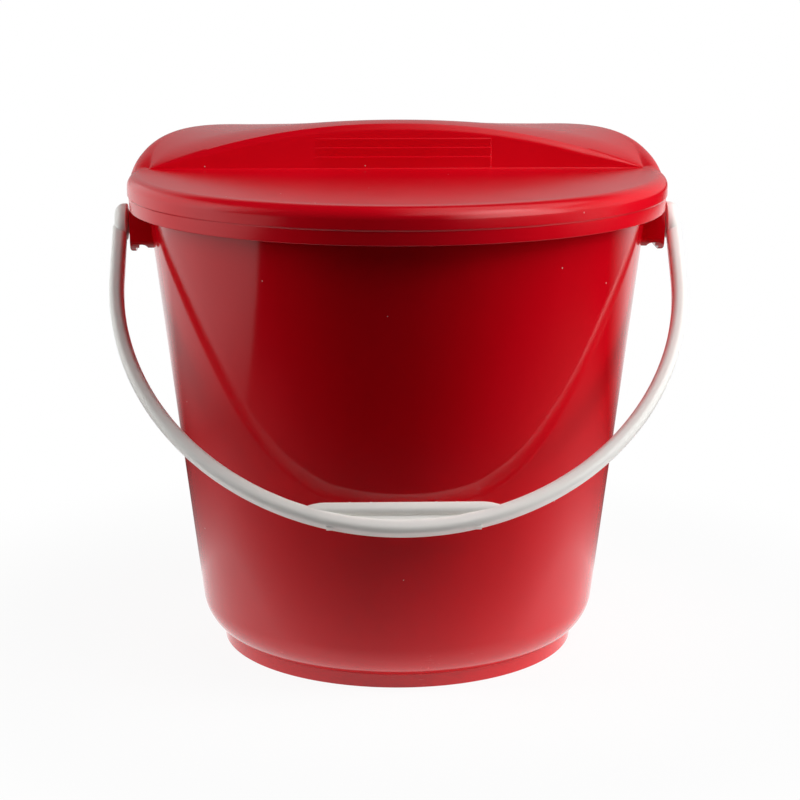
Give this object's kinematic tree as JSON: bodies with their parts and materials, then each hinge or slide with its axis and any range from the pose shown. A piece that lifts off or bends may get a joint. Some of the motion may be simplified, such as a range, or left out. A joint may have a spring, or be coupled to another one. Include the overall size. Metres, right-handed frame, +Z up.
{
  "type": "fire bucket",
  "caption": "Round tapered plastic bucket with a drop-on lid, a raised finger hood on the lid, two hollow ears and a swinging bail handle with a grip bar.",
  "frame": {"origin": "centre of the foot ring, on the surface that the bucket stands on", "axes": "+Z up along the bucket's axis, -Y towards the front where the bail hangs, +X through the right-hand ear as seen from the front"},
  "size_m": [0.3174, 0.3, 0.2938],
  "materials": {
    "bucket_red": "glossy moulded red plastic",
    "lid_red": "satin moulded red plastic",
    "handle_white": "satin moulded white plastic"
  },
  "bodies": {
    "bucket": {"bucket": "bucket_red"},
    "lid": {"lid": "lid_red"},
    "handle": {"handle": "handle_white"}
  },
  "joints": [
    {"name": "lid_lift", "type": "slide", "parent": "bucket", "child": "lid", "axis": [0, 0, 1], "range_m": [0, 0.08]},
    {"name": "handle_swing", "type": "hinge", "parent": "bucket", "child": "handle", "pos_m": [0, 0, 0.2396], "axis": [-1, 0, 0], "range_deg": [0, 272]}
  ]
}
